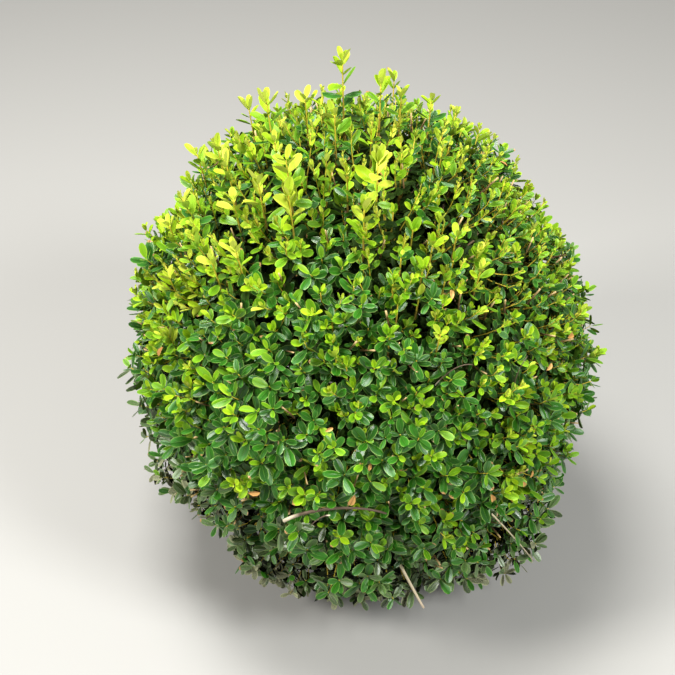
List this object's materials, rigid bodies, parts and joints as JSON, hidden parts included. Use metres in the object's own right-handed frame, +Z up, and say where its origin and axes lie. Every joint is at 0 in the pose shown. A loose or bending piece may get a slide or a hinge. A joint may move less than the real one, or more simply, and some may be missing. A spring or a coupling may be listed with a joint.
{
  "type": "clipped boxwood ball",
  "caption": "Dense clipped ball of small-leaved evergreen box foliage, rooted in the ground by a short hidden stem, with fresh shoots standing out of its top.",
  "frame": {"origin": "middle of the main stem's flat cut at ground level", "axes": "+Z up along the stem, -Y towards the side that faces the camera in the picture, +X to its right"},
  "size_m": [0.5064, 0.5117, 0.6032],
  "materials": {
    "bark": "rough, finely cracked bark",
    "foliage": "leathery leaves with a soft gloss"
  },
  "bodies": {
    "root": {"main_stem": "bark", "bough_top": "bark", "bough_front": "bark", "bough_front_right": "bark", "bough_back_right": "bark", "bough_back": "bark", "bough_back_left": "bark", "bough_front_left": "bark", "foliage_top": "foliage", "foliage_front": "foliage", "foliage_front_right": "foliage", "foliage_back_right": "foliage", "foliage_back": "foliage", "foliage_back_left": "foliage", "foliage_front_left": "foliage"}
  },
  "joints": []
}
